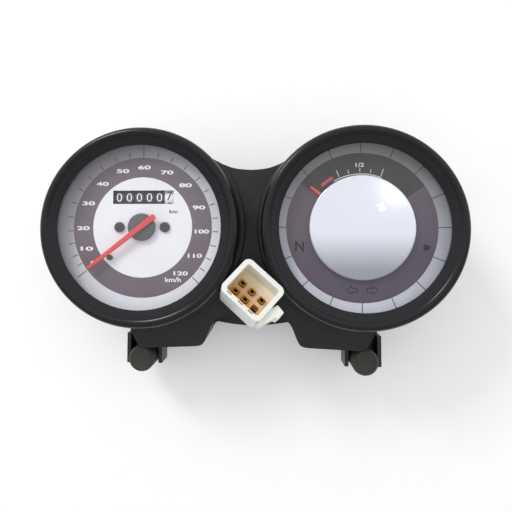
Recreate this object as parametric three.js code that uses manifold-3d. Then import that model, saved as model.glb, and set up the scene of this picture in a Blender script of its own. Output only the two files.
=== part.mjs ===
// Twin-dial motorcycle instrument cluster, lying on its back: a cable-driven speedometer with an odometer
// on the left and a fuel and tell-tale dial on the right, in one black case with rubber-damped mounting
// legs and a wired connector. Millimetres. +X is the rider's right, +Y is the 12 o'clock side of the
// dials and +Z points out of them. Heights are measured from the flat back of the case, and x and y from
// the point midway between the two dial axes.
import * as THREE from "three";
import { mergeVertices } from "three/addons/utils/BufferGeometryUtils.js";
import Module from "manifold-3d";

// ---- driving dimensions ----
const DIAL_X = 53.5; // each dial's axis from the middle of the cluster
const FRAME_Y = 13.85; // the frame's origin is below the dial axes by this much
const FACE_Z = 62; // front of the bezels above the flat back
const BEZEL_R = 48.4;
const STEP_R = 43.8; // step between the bezel's rim and its sloping inner face
const LIP_R = 39.7; // clear opening inside the bezel
const LENS_R = 45.2;
const POD_R = 47.2; // outside of the case's round pods
const BORE_R = 43.4; // inside of the pods, behind the dial
const DIAL_R = 43;
const DIAL_TOP = FACE_Z - 10.15;
const DIAL_THICK = 0.8;
const PARTING_Z = 24; // where the rear cover meets the front case
const BRIDGE_TOP = 42; // front face of the bridge and the skirts
const PLATE_Z = 18; // back face of the rear cover between the pods
const WALL = 2.5;
const GAP = 0.3; // clearance between touching pieces
const OPENING_R = 42.6; // the pod's inner spacer, which holds the dial down

// mounting legs and screws
const LEG_X = 58.6;
const LEG_HALF = 9.6;
const LEG_BACK = 14.4;
const LEG_PLATE = 3.2;
const LEG_TOP = LEG_BACK + LEG_PLATE;
const LEG_SCREW = { x: 56.6, y: -54.5 };
const COVER_SCREWS = [[-8.6, 24.4], [8.6, 24.4]];
const BOSSES = [...COVER_SCREWS, [-LEG_SCREW.x, LEG_SCREW.y], [LEG_SCREW.x, LEG_SCREW.y]];
const BOSS_R = 4;
const BOSS_BORE_R = 2;
const DAMPER_Y = -69.2;
const DAMPER_R = 6.9;
const DAMPER_TOP = 34;

// odometer
const DRUM_R = 8.5;
const DRUM_PITCH = 5;
const DRUM_COUNT = 6;
const DRUM_Y = 14.7;
const DRUM_Z = DIAL_TOP - DIAL_THICK - DRUM_R - 1;
const WINDOW = { x: 0.3, width: 30.2, height: 6.6 };
const DRUM_GEAR_R = 6;
const LINK_X = 17.2; // the vertical shaft that drives the odometer
const LINK_Y = DRUM_Y - DRUM_GEAR_R - 2 - GAP;
const CROSS_Z = 18.6; // the lying shaft between the input worm and the vertical shaft
const CROSS_X = 6.9;
const CROSS_TEETH = 10; // 10 x 14 x 10 = 1400 turns of the cable to a kilometre
const LINK_TEETH = 14;
const DRUM_TEETH = 10;
const DIAL_SCREW_X = 11.2;
const STOP_PIN = { x: -15.6, y: -14.8 };
const BASE_Z = 11; // back of the movement's base plate
const CUP_Z = 23.6; // open edge of the drag cup
const FERRULE_WELL_R = 15; // opening of the rear cover round the cable's ferrule

// needles: angles clockwise from 12 o'clock, in degrees
const SPEED_ZERO = -128;
const FUEL_EMPTY = -51;
const SPEED_NEEDLE_Z = 54.8;
const FUEL_NEEDLE_Z = 52.3;

// connector on the end of the harness: its mouth's centre, its turn and its tilt
const CONNECTOR = { x: 1.8, y: -28.4, z: 67, width: 23.6, height: 20.1, length: 22, wall: 2.3, cavity: 11 };
const CONNECTOR_AXIS = new THREE.Vector3(0.143, 0.307, 0.94).normalize();
const CONNECTOR_TURN = -0.74; // turn about its own axis, in radians
const TERMINAL_PITCH = { x: 6, y: 5 };
const TERMINAL_SHIFT = -1.4; // the terminal block sits off-centre in the mouth
const FILLED_WAYS = 5; // the sixth way is empty
const HARNESS_R = 3;
const HARNESS_LOW = HARNESS_R + 0.3; // the harness's centre where it lies on the table
const HARNESS_HOLE = { x: -2, y: -37.6, r: 4.4 };
const GROMMET = { x: 0, y: 16, r: 5 };
const HARNESS_ROUTE = [
  [0, 16, 15.4], [-0.1, 15.3, 11.2], [-0.5, 12.6, 7], [-1.3, 8.8, 4.3], [-2.6, 4, HARNESS_LOW],
  [-4.3, -1.4, HARNESS_LOW], [-5.6, -7.4, HARNESS_LOW], [-5.9, -13.4, HARNESS_LOW], [-5.2, -19.4, HARNESS_LOW],
  [-3.9, -24.6, HARNESS_LOW], [-2.8, -29.2, 4.5], [-2.2, -33.4, 7.6], [-2, -36.2, 12], [-2, -37.5, 17],
  [-2, -37.9, 23], [-2, -37.8, 29], [-1.9, -37.5, 35], [-1.8, -37, 39.6], [-1.7, -36.3, 43.4],
];

// lamps: [distance from the dial's axis, angle clockwise from 12 o'clock]
const LAMPS = { left: [[35.3, 180]], right: [[32.5, 0], [31, -107], [31, 107], [30, 180]] };
const LAMP_NAMES = {
  left: ["speedometer_lamp"],
  right: ["fuel_lamp", "neutral_lamp", "beam_lamp", "turn_lamp"],
};
const LAMP_HOLE_R = 5.4;

// ---- colours ----
const finish = (color, roughness, metalness) => new THREE.MeshStandardMaterial({ color, roughness, metalness });
const plastic = (color, roughness = 0.5) => finish(color, roughness, 0);
const black = (roughness) => plastic(0x17171a, roughness);
const metal = (color, roughness = 0.35) => finish(color, roughness, 1);

function clear() {
  const material = plastic(0xf2f6f8, 0.03);
  material.transparent = true;
  material.opacity = 0.2;
  return material;
}

// ---- solids: closed geometries, joined and cut with manifold-3d ----
const wasm = await Module();
wasm.setup();

function toSolid(geometry) {
  const plain = new THREE.BufferGeometry();
  plain.setAttribute("position", geometry.getAttribute("position"));
  if (geometry.index) {
    plain.setIndex(geometry.index);
  }
  const merged = mergeVertices(plain.index ? plain.toNonIndexed() : plain, 1e-4);
  const triVerts = new Uint32Array(merged.index.array);
  const vertProperties = merged.attributes.position.array;
  const make = () => new wasm.Manifold(new wasm.Mesh({ numProp: 3, vertProperties, triVerts }));
  const solid = make();
  if (solid.volume() > 0) {
    return solid;
  }
  for (let i = 0; i < triVerts.length; i += 3) {
    [triVerts[i + 1], triVerts[i + 2]] = [triVerts[i + 2], triVerts[i + 1]];
  }
  return make();
}

function toGeometry(solid) {
  const mesh = solid.getMesh();
  return new THREE.BufferGeometry()
    .setAttribute("position", new THREE.BufferAttribute(new Float32Array(mesh.vertProperties), 3))
    .setIndex(new THREE.BufferAttribute(new Uint32Array(mesh.triVerts), 1));
}

const union = (solids) => solids.reduce((a, b) => a.add(b));
const cut = (solid, tools) => tools.reduce((a, b) => a.subtract(b), solid);

// A ring, disc or stepped turning about Z from a closed list of [radius, height] points.
function turned(profile, segments = 36) {
  const points = [...profile, profile[0]].map(([r, z]) => new THREE.Vector2(r, z));
  return toSolid(new THREE.LatheGeometry(points, segments).rotateX(Math.PI / 2));
}

function rod(radius, z0, z1, segments = 12) {
  const cylinder = new THREE.CylinderGeometry(radius, radius, z1 - z0, segments);
  return toSolid(cylinder.rotateX(Math.PI / 2).translate(0, 0, (z0 + z1) / 2));
}

function block(x0, x1, y0, y1, z0, z1) {
  const box = new THREE.BoxGeometry(x1 - x0, y1 - y0, z1 - z0);
  return toSolid(box.translate((x0 + x1) / 2, (y0 + y1) / 2, (z0 + z1) / 2));
}

const tube = (outer, inner, z0, z1, segments = 32) =>
  turned([[inner, z0], [outer, z0], [outer, z1], [inner, z1]], segments);
const at = (solid, x, y, z = 0) => solid.translate([x, y, z]);

function extruded(shape, z0, z1, curveSegments = 4) {
  const settings = { depth: z1 - z0, bevelEnabled: false, curveSegments };
  return toSolid(new THREE.ExtrudeGeometry(shape, settings).translate(0, 0, z0));
}

function roundedRectangle(width, height, radius) {
  const [x, y] = [width / 2, height / 2];
  const shape = new THREE.Shape();
  shape.absarc(x - radius, y - radius, radius, 0, Math.PI / 2);
  shape.absarc(-x + radius, y - radius, radius, Math.PI / 2, Math.PI);
  shape.absarc(-x + radius, -y + radius, radius, Math.PI, 1.5 * Math.PI);
  shape.absarc(x - radius, -y + radius, radius, 1.5 * Math.PI, 2 * Math.PI);
  return shape;
}

// A round-toothed wheel about Z.
function gear(radius, teeth, z0, z1) {
  const shape = new THREE.Shape();
  for (let i = 0; i < teeth * 2; i++) {
    const angle = (i * Math.PI) / teeth;
    const r = i % 2 ? radius : radius * 0.84;
    shape[i ? "lineTo" : "moveTo"](r * Math.cos(angle), r * Math.sin(angle));
  }
  shape.closePath();
  return extruded(shape, z0, z1);
}

// ---- scene graph ----
const cluster = new THREE.Group();
const assembly = new THREE.Group();
assembly.position.y = FRAME_Y;
cluster.add(assembly);

function part(name, solid, material, parent = assembly) {
  const mesh = new THREE.Mesh(toGeometry(solid), material);
  mesh.name = name;
  parent.add(mesh);
  return mesh;
}

const onDial = (side) => (side === "left" ? -DIAL_X : DIAL_X);
const SIDES = ["left", "right"];
const onBothDials = (make) => SIDES.map((side) => at(make(), onDial(side), 0));

// A place on a dial from its distance to the axis and its angle clockwise from 12 o'clock.
function polar(radius, degrees) {
  const angle = THREE.MathUtils.degToRad(degrees);
  return [radius * Math.sin(angle), radius * Math.cos(angle)];
}

// ---- case ----
// The bridge and skirts seen from the front, right half. belly is how far the lower edge bulges between
// the skirts.
const halfOutline = (belly) => [
  [0, -43.5 - belly], [11, -44 - belly * 0.85], [16.5, -45.5 - belly * 0.6], [20, -48.7 - belly * 0.2],
  [23.2, -56.8], [24.6, -59.2], [27, -60.2], [54.5, -61.4], [57.4, -60.6], [58.9, -58.4], [63, -50.5],
  [58, -30], [40, 10], [30, 32], [22, 36.6], [16, 33.4], [9, 30.6], [0, 29.7],
];

// inset shrinks the outline for the hollow inside.
function caseOutline(inset, belly = 0) {
  const half = halfOutline(belly);
  const mirrored = half.slice(1, -1).reverse().map(([x, y]) => [-x, y]);
  const ring = [...half, ...mirrored];
  const moved = ring.map(([x, y], i) => {
    const [px, py] = ring[(i + ring.length - 1) % ring.length];
    const [nx, ny] = ring[(i + 1) % ring.length];
    const before = new THREE.Vector2(x - px, y - py).normalize();
    const after = new THREE.Vector2(nx - x, ny - y).normalize();
    const normal = new THREE.Vector2(-(before.y + after.y), before.x + after.x).normalize();
    const miter = inset / Math.max(0.5, normal.dot(new THREE.Vector2(-before.y, before.x)));
    return new THREE.Vector2(x + normal.x * miter, y + normal.y * miter);
  });
  return new THREE.Shape(moved);
}

const overBosses = (radius, z0, z1) => BOSSES.map(([x, y]) => at(rod(radius, z0, z1, 8), x, y));
const overHarness = (radius, z0, z1) => at(rod(radius, z0, z1, 20), HARNESS_HOLE.x, HARNESS_HOLE.y);

const pod = () => turned([
  [BORE_R - 0.4, PARTING_Z + GAP], [POD_R - 1, PARTING_Z + GAP], [POD_R, 46.6], [LENS_R + 0.2, 46.6],
  [LENS_R + 0.2, 56.3], [BORE_R - 0.4, 56.3],
]);
const podBore = () => rod(BORE_R, PARTING_Z - 1, DIAL_TOP + GAP, 36);
const podOpening = () => turned([
  [0, DIAL_TOP], [OPENING_R, DIAL_TOP], [OPENING_R, DIAL_TOP + GAP], [OPENING_R + 0.3, 56.4],
  [OPENING_R + 0.3, 57], [0, 57],
]);

function frontCase() {
  const shell = cut(extruded(caseOutline(0), PARTING_Z + GAP, BRIDGE_TOP), [
    extruded(caseOutline(WALL), PARTING_Z - 1, BRIDGE_TOP - WALL),
  ]);
  const bosses = overBosses(BOSS_R, PARTING_Z + GAP, BRIDGE_TOP - 1);
  const eyelet = overHarness(HARNESS_HOLE.r + 1.6, PARTING_Z + GAP, BRIDGE_TOP);
  return cut(union([...onBothDials(pod), shell, ...bosses, eyelet]), [
    ...onBothDials(podBore),
    ...onBothDials(podOpening),
    ...overBosses(BOSS_BORE_R, PARTING_Z - 1, 36),
    overHarness(HARNESS_HOLE.r, PARTING_Z - 1, FACE_Z),
  ]);
}

const CUP_R = 39; // flat back of each of the rear cover's cups
const BELLY = 9.5;
const cup = () => turned([[0, 0], [CUP_R, 0], [CUP_R + 2.5, 2.2], [POD_R - 1.2, PARTING_Z], [0, PARTING_Z]]);
const cupHollow = () => turned([
  [0, WALL], [CUP_R - 1.4, WALL], [CUP_R + 0.4, 4.2], [BORE_R, PARTING_Z - 1], [BORE_R, PARTING_Z + 1],
  [0, PARTING_Z + 1],
]);

function rearCover() {
  const plate = cut(extruded(caseOutline(0, BELLY), PLATE_Z, PARTING_Z), [
    extruded(caseOutline(WALL, BELLY), PLATE_Z + WALL, PARTING_Z + 1),
  ]);
  const pads = overBosses(BOSS_R, PLATE_Z, PARTING_Z);
  const eyelet = overHarness(HARNESS_HOLE.r + 1.6, PLATE_Z, PARTING_Z);
  return cut(union([...onBothDials(cup), plate, ...pads, eyelet]), [
    ...onBothDials(cupHollow),
    at(rod(FERRULE_WELL_R, -1, WALL + 1, 24), -DIAL_X, 0),
    ...overBosses(BOSS_BORE_R, PLATE_Z - 1, PARTING_Z + 1),
    overHarness(HARNESS_HOLE.r, PLATE_Z - 1, PARTING_Z + 1),
    at(rod(GROMMET.r + GAP, PLATE_Z - 1, PARTING_Z + 1, 20), GROMMET.x, GROMMET.y),
  ]);
}

// ---- mounting legs, dampers and studs ----
const FLANGE = { end: -73, inner: -62.2, outer: -57, thick: 2, top: 27 };

function mountLeg(side) {
  const [low, high] = [LEG_X - LEG_HALF, LEG_X + LEG_HALF];
  const leg = cut(
    union([
      block(low, high, FLANGE.end, -49.5, LEG_BACK, LEG_TOP),
      block(low, low + FLANGE.thick, FLANGE.end, FLANGE.inner, LEG_BACK, FLANGE.top),
      block(high - FLANGE.thick, high, FLANGE.end, FLANGE.outer, LEG_BACK, FLANGE.top),
    ]),
    [
      at(rod(5.3, LEG_BACK - 1, LEG_TOP + 1, 16), LEG_X, DAMPER_Y),
      at(rod(2.4, LEG_BACK - 1, LEG_TOP + 1, 12), LEG_SCREW.x, LEG_SCREW.y),
      at(rod(POD_R + GAP, LEG_BACK - 1, 30, 40), DIAL_X, 0),
    ],
  );
  return side === "left" ? leg.scale([-1, 1, 1]) : leg;
}

const damper = () => turned([
  [0, 30.5], [3.3, 30.5], [3.3, 12], [6.3, 12], [6.3, LEG_BACK - GAP], [5, LEG_BACK - GAP], [5, LEG_TOP + GAP],
  [DAMPER_R, LEG_TOP + GAP], [DAMPER_R, DAMPER_TOP - 1.4], [DAMPER_R - 1.4, DAMPER_TOP], [0, DAMPER_TOP],
], 20);
const stud = () => turned([
  [0, 3], [2.6, 3], [3, 3.6], [3, 9.6], [5.6, 9.6], [5.6, 11.7], [3, 11.7], [3, 30.2], [0, 30.2],
], 14);

const SCREW_TIP = 33;
const screw = (headZ) => turned([
  [0, headZ], [2.6, headZ], [3.3, headZ + 0.9], [3.3, headZ + 2.3], [1.6, headZ + 2.3], [1.6, SCREW_TIP - 1],
  [0.4, SCREW_TIP], [0, SCREW_TIP],
], 10);

// ---- gauge heads ----
const bezel = () => turned([
  [LENS_R + 0.6, 47], [BEZEL_R, 47], [BEZEL_R, 59.4], [BEZEL_R - 0.4, 60.8], [BEZEL_R - 1.3, 61.7],
  [BEZEL_R - 2.4, FACE_Z], [STEP_R + 0.7, 61.7], [STEP_R, 61], [LIP_R, 60.2], [LIP_R, 59.8],
  [LENS_R + 0.6, 59.8],
], 40);
const lens = () => turned([[0, 56.6], [LENS_R, 56.6], [LENS_R, 59.5], [0, 59.5]], 36);

const HOUSING_BACK = 27;

function gaugeHousing(side) {
  const floor = side === "left" ? 28.5 : 20;
  const shell = cut(rod(DIAL_R, HOUSING_BACK, DIAL_TOP - DIAL_THICK - GAP, 36), [
    rod(DIAL_R - 1.6, HOUSING_BACK + 1.6, FACE_Z, 36),
    rod(floor, 20, 40, 24),
  ]);
  const lampHole = rod(LAMP_HOLE_R, 20, 40, 12);
  const lampHoles = LAMPS[side].map(([radius, angle]) => at(lampHole, ...polar(radius, angle)));
  return cut(shell, lampHoles);
}

function speedometerDial() {
  const disc = rod(DIAL_R, DIAL_TOP - DIAL_THICK, DIAL_TOP, 36);
  const [halfWidth, halfHeight] = [WINDOW.width / 2, WINDOW.height / 2];
  return cut(disc, [
    block(WINDOW.x - halfWidth, WINDOW.x + halfWidth, DRUM_Y - halfHeight, DRUM_Y + halfHeight, 40, FACE_Z),
    rod(1.5, 40, FACE_Z, 12),
    ...[-1, 1].map((s) => at(rod(1.7, 40, FACE_Z, 12), s * DIAL_SCREW_X, 0)),
    at(rod(1.1, 40, FACE_Z, 12), STOP_PIN.x, STOP_PIN.y),
  ]);
}

const fuelDial = () => cut(rod(DIAL_R, DIAL_TOP - DIAL_THICK, DIAL_TOP, 36), [rod(1.5, 40, FACE_Z, 12)]);

const dialScrew = () => turned([
  [0, 46.4], [1.4, 46.4], [1.4, DIAL_TOP + GAP], [2.5, DIAL_TOP + GAP], [2.5, 53.1], [1.9, 53.6], [0, 53.6],
], 12);
const stopPin = () => turned([
  [0, 50], [0.8, 50], [0.8, DIAL_TOP + GAP], [1.35, DIAL_TOP + GAP], [1.35, 54.2], [0.7, 54.2], [0.7, 56.1],
  [0, 56.1],
], 8);

function centreDisc() {
  const legs = [180, 120, -120].map((angle) => at(rod(1.5, DIAL_TOP + GAP, 54, 10), ...polar(17, angle)));
  return union([rod(25, 53.6, 54.7, 40), ...legs]);
}

// ---- speedometer movement ----
function movementFrame() {
  const top = DIAL_TOP - DIAL_THICK - GAP;
  const ferrule = tube(6, 4, 1, BASE_Z + 1, 20);
  const base = cut(union([rod(21, BASE_Z, BASE_Z + 3, 28), block(-26, 27, -8, -2.3, BASE_Z, BASE_Z + 3)]), [
    rod(2.1, 5, 20, 12),
    at(rod(1.2, 5, 20, 8), LINK_X, LINK_Y),
  ]);
  const columns = [block(-26, -21.6, -8, -2.3, BASE_Z, top), block(22.6, 27, -8, -2.3, BASE_Z, top)];
  const yoke = cut(block(-26, 27, -8, 9, top - 2, top), [
    rod(2.4, 40, 60, 12),
    ...[-1, 1].map((s) => at(rod(1.7, 40, 60, 10), s * DIAL_SCREW_X, 0)),
    at(rod(1.3, 40, 60, 8), LINK_X, LINK_Y),
  ]);
  const ears = [[-26, -23], [23, 27]].map(([x0, x1]) => block(x0, x1, 0, DRUM_Y + 3.4, top - 14, top));
  const lugs = [-7, 13].map((y) => block(CROSS_X - 2.4, CROSS_X + 2.4, y - 1, y + 1, BASE_Z, CROSS_Z + 2.2));
  const axleHole = rod(1.5, -40, 40, 10).rotate([0, 90, 0]).translate([0, DRUM_Y, DRUM_Z]);
  const crossHole = rod(1.2, -30, 30, 8).rotate([90, 0, 0]).translate([CROSS_X, 0, CROSS_Z]);
  return cut(union([ferrule, base, ...columns, yoke, ...ears, ...lugs]), [axleHole, crossHole]);
}

// The cable turns this shaft; its worm drives the odometer and its magnet drags the cup.
function magnetShaft() {
  const worm = rod(2.4, CROSS_Z - 2, CROSS_Z + 2, 12);
  const squareSocket = block(-0.9, 0.9, -0.9, 0.9, 5, 10);
  return cut(union([rod(1.8, 6, 24, 12), worm, rod(10.6, 23.2, 27.4, 24)]), [squareSocket]);
}

function dragCup() {
  const bowl = cut(rod(12, CUP_Z, CUP_Z + 5, 24), [rod(11.2, 20, CUP_Z + 4.2, 24)]);
  return bowl.add(rod(0.9, CUP_Z + 4.6, 52.3, 12));
}

function hairspring() {
  const turns = 3;
  const points = [];
  for (let i = 0; i <= turns * 10; i++) {
    const angle = (i / 10) * 2 * Math.PI;
    const radius = 1.9 + (i / 10) * 1.2;
    points.push(new THREE.Vector3(radius * Math.cos(angle), radius * Math.sin(angle), 32));
  }
  const path = new THREE.CatmullRomCurve3(points);
  const corners = [[-0.5, -0.12], [0.5, -0.12], [0.5, 0.12], [-0.5, 0.12]];
  const strip = new THREE.Shape(corners.map(([x, y]) => new THREE.Vector2(x, y)));
  return toSolid(new THREE.ExtrudeGeometry(strip, { steps: 30, extrudePath: path }));
}

function crossShaft() {
  const wheel = gear(4.2, CROSS_TEETH, -1.5, 1.5);
  const worm = rod(2, LINK_Y - 2, LINK_Y + 2, 10);
  const shaft = union([rod(0.9, -9, 15, 8), wheel, worm]);
  return shaft.rotate([-90, 0, 0]).translate([CROSS_X, 0, CROSS_Z]);
}

function linkShaft() {
  const wheel = gear(8, LINK_TEETH, CROSS_Z - 1.5, CROSS_Z + 1.5);
  const worm = rod(2, 38, 45, 10);
  return at(union([rod(0.9, BASE_Z + 0.5, 50, 8), wheel, worm]), LINK_X, LINK_Y);
}

function odometerDrum(index) {
  const middle = WINDOW.x + (index - (DRUM_COUNT - 1) / 2) * DRUM_PITCH;
  const half = DRUM_PITCH / 2 - 0.15;
  let drum = rod(DRUM_R, -half, half, 30);
  if (index === DRUM_COUNT - 1) {
    drum = drum.add(gear(DRUM_GEAR_R, DRUM_TEETH, half - 0.1, half + 3.2));
  }
  return cut(drum, [rod(1.5, -10, 10, 8)]).rotate([0, 90, 0]).translate([middle, DRUM_Y, DRUM_Z]);
}

const odometerAxle = () => rod(1.2, -26.5, 27.5, 8).rotate([0, 90, 0]).translate([0, DRUM_Y, DRUM_Z]);

function needleBar(tail, tip, tailWidth, tipWidth, z0, z1) {
  const shape = new THREE.Shape();
  shape.moveTo(-tailWidth / 2, -tail + 1);
  shape.quadraticCurveTo(0, -tail - 1, tailWidth / 2, -tail + 1);
  shape.lineTo(tipWidth / 2, tip - 0.8);
  shape.lineTo(0, tip);
  shape.lineTo(-tipWidth / 2, tip - 0.8);
  shape.closePath();
  return extruded(shape, z0, z1);
}

const speedNeedle = () =>
  needleBar(9, 33.5, 3.1, 1.7, SPEED_NEEDLE_Z, SPEED_NEEDLE_Z + 1.4).rotate([0, 0, -SPEED_ZERO]);
const needleHub = () => turned([[0, 52.6], [6.2, 52.6], [6.7, 53], [6.7, 54.1], [6.2, 54.5], [0, 54.5]], 24);

function fuelNeedle() {
  const top = FUEL_NEEDLE_Z + 0.8;
  const bar = needleBar(7, 31.6, 2.6, 1.9, FUEL_NEEDLE_Z, top);
  const pivot = rod(0.8, 49.2, FUEL_NEEDLE_Z + 0.4, 8);
  return union([bar, rod(2.6, FUEL_NEEDLE_Z, top, 12), pivot]).rotate([0, 0, -FUEL_EMPTY]);
}

const fuelMovement = () => union([
  rod(13.5, 31, 48.4, 20),
  block(-17, 17, -5, 5, 28.9, 31.5),
  rod(3, 46, 48.9, 16),
]);

// ---- lamps in the floors of the gauge housings ----
const lampHolder = () => turned([
  [0, 17], [5, 17], [6.4, 19], [6.4, 26.7], [5.1, 26.7], [5.1, 30], [3.4, 30.4], [0, 30.4],
], 12);
const lampBulb = () => turned([[0, 30.7], [2.4, 30.7], [3.2, 33], [3.2, 38.4], [2, 40.6], [0, 41.2]], 10);

// ---- harness and connector ----
function harness() {
  const points = HARNESS_ROUTE.map((p) => new THREE.Vector3(...p));
  const path = new THREE.CatmullRomCurve3(points, false, "centripetal");
  const section = new THREE.Shape();
  for (let i = 0; i < 8; i++) {
    const angle = (i * Math.PI) / 4;
    section[i ? "lineTo" : "moveTo"](HARNESS_R * Math.cos(angle), HARNESS_R * Math.sin(angle));
  }
  section.closePath();
  return toSolid(new THREE.ExtrudeGeometry(section, { steps: 24, extrudePath: path }));
}

const grommet = () => at(turned([
  [HARNESS_R + GAP, 15.6], [GROMMET.r - 0.6, 15.6], [GROMMET.r + 2, 16.6], [GROMMET.r + 2, PLATE_Z - GAP],
  [GROMMET.r, PLATE_Z - GAP], [GROMMET.r, 20.8], [HARNESS_R + GAP, 20.8],
], 16), GROMMET.x, GROMMET.y);

const TERMINALS = [];
for (const row of [0.5, -0.5]) {
  for (const column of [-1, 0, 1]) {
    TERMINALS.push([column * TERMINAL_PITCH.x, row * TERMINAL_PITCH.y + TERMINAL_SHIFT]);
  }
}

// The latch arm on the connector's side, ending in a square lug.
function latchArm() {
  const side = CONNECTOR.width / 2;
  const points = [
    [-0.3, -9.4], [1.6, -9.8], [4.2, -2.2], [5.7, -1.9], [5.5, 2.4], [1.3, 3], [-0.3, -1],
  ];
  const shape = new THREE.Shape(points.map(([x, y]) => new THREE.Vector2(side + x, y)));
  return extruded(shape, -13, -2);
}

// In the connector's own frame the mouth is at z = 0 and the body runs down.
function connectorHousing() {
  const { width, height, length, wall, cavity } = CONNECTOR;
  const body = extruded(roundedRectangle(width, height, 3), -length, 0).add(latchArm());
  return cut(body, [
    extruded(roundedRectangle(width - 2 * wall, height - 2 * wall, 1.4), -cavity, 1),
    ...TERMINALS.map(([x, y]) => block(x - 1.9, x + 1.9, y - 1.7, y + 1.7, -length - 1, 1)),
  ]);
}

function terminal([x, y]) {
  const { length, cavity } = CONNECTOR;
  const post = block(-1.5, 1.5, -1.3, 1.3, -length + 1, -cavity + 1.6);
  const socket = block(-1, 1, -0.75, 0.75, -cavity - 6, 0);
  return at(cut(post, [socket]), x, y);
}

// ---- assembly ----
function place(mesh, x, y) {
  mesh.position.set(x, y, 0);
}

function addFront(side, head) {
  part(`${side}_bezel`, bezel(), black(0.25), head);
  part(`${side}_lens`, lens(), clear(), head);
  part(`${side}_gauge_housing`, gaugeHousing(side), plastic(0xe9e9e4, 0.6), head);
  LAMPS[side].forEach(([radius, angle], i) => {
    const lamp = LAMP_NAMES[side][i];
    place(part(`${lamp}_holder`, lampHolder(), plastic(0x2a2a2a, 0.85), head), ...polar(radius, angle));
    place(part(`${lamp}_bulb`, lampBulb(), plastic(0xdfe6e8, 0.1), head), ...polar(radius, angle));
  });
}

function addMounting(side) {
  const sign = side === "left" ? -1 : 1;
  part(`${side}_mount_leg`, mountLeg(side), plastic(0x1b1a17, 0.6));
  place(part(`${side}_damper`, damper(), plastic(0x1d1c19, 0.8)), sign * LEG_X, DAMPER_Y);
  place(part(`${side}_stud`, stud(), metal(0xb9bbb8)), sign * LEG_X, DAMPER_Y);
  place(part(`${side}_leg_screw`, screw(11.8), metal(0x8d8f90)), sign * LEG_SCREW.x, LEG_SCREW.y);
}

function addSpeedometer(head) {
  part("speedometer_dial", speedometerDial(), plastic(0xf1f2f6, 0.6), head);
  part("speed_needle", speedNeedle(), plastic(0xe23a3c, 0.45), head);
  part("needle_hub", needleHub(), plastic(0x4a464c), head);
  place(part("needle_stop_pin", stopPin(), plastic(0x1a1a1a), head), STOP_PIN.x, STOP_PIN.y);
  place(part("dial_screw_1", dialScrew(), metal(0x2b2b2d), head), -DIAL_SCREW_X, 0);
  place(part("dial_screw_2", dialScrew(), metal(0x2b2b2d), head), DIAL_SCREW_X, 0);
  part("movement_frame", movementFrame(), metal(0xa9abad, 0.5), head);
  part("magnet_shaft", magnetShaft(), metal(0x8a8c90), head);
  part("drag_cup", dragCup(), metal(0xc9cbcd), head);
  part("hairspring", hairspring(), metal(0xc8a24a), head);
  part("cross_shaft", crossShaft(), plastic(0xe6e1d0), head);
  part("link_shaft", linkShaft(), plastic(0xe6e1d0), head);
  part("odometer_axle", odometerAxle(), metal(0xb5b7b9), head);
  for (let i = 0; i < DRUM_COUNT; i++) {
    const color = i === DRUM_COUNT - 1 ? 0xf4f4f2 : 0x1c1c1e;
    part(`odometer_drum_${i + 1}`, odometerDrum(i), plastic(color), head);
  }
}

function addFuelGauge(head) {
  part("fuel_dial", fuelDial(), plastic(0x4a4450), head);
  part("centre_disc", centreDisc(), plastic(0xd9d9e2, 0.2), head);
  part("fuel_needle", fuelNeedle(), plastic(0xd8323a, 0.45), head);
  part("fuel_movement", fuelMovement(), plastic(0x2f3033), head);
}

function addConnector() {
  const zAxis = new THREE.Vector3(0, 0, 1);
  const plug = new THREE.Group();
  plug.position.set(CONNECTOR.x, CONNECTOR.y, CONNECTOR.z);
  plug.quaternion
    .setFromUnitVectors(zAxis, CONNECTOR_AXIS)
    .multiply(new THREE.Quaternion().setFromAxisAngle(zAxis, CONNECTOR_TURN));
  assembly.add(plug);
  part("connector_housing", connectorHousing(), plastic(0xf3f0e6, 0.45), plug);
  for (let i = 0; i < FILLED_WAYS; i++) {
    part(`terminal_${i + 1}`, terminal(TERMINALS[i]), metal(0xb08a3c, 0.4), plug);
  }
}

part("front_case", frontCase(), black(0.55));
part("rear_cover", rearCover(), black(0.6));
for (const side of SIDES) {
  const head = new THREE.Group();
  head.position.x = onDial(side);
  assembly.add(head);
  addFront(side, head);
  addMounting(side);
  if (side === "left") {
    addSpeedometer(head);
  } else {
    addFuelGauge(head);
  }
}
COVER_SCREWS.forEach(([x, y], i) => {
  place(part(`cover_screw_${i + 1}`, screw(15.4), metal(0x8d8f90)), x, y);
});
part("harness_grommet", grommet(), plastic(0x161616, 0.8));
part("harness", harness(), plastic(0x1a1a1c));
addConnector();

export default cluster;
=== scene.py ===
import math

import bmesh
import bpy
from mathutils import Matrix, Quaternion, Vector


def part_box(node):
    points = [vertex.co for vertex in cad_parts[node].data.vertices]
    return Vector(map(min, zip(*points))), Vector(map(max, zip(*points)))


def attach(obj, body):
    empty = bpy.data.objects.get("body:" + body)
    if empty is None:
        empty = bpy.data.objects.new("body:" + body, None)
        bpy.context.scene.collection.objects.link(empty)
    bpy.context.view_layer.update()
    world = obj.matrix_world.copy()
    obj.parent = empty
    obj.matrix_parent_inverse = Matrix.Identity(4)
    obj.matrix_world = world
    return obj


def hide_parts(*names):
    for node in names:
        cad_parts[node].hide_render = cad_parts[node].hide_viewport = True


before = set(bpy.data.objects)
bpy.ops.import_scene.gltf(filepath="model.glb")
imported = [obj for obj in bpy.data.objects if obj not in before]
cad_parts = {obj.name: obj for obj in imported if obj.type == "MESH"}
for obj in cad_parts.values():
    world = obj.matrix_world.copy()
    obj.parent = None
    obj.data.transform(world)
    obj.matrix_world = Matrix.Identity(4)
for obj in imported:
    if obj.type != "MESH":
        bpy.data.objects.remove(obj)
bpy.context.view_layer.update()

# A twin-dial motorcycle instrument cluster lying on its back. Sizes are in millimetres, and each matrix
# in the PLACES section takes them to the row frame's metres. Dial angles are degrees clockwise from 12.

MM = 0.001

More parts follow.
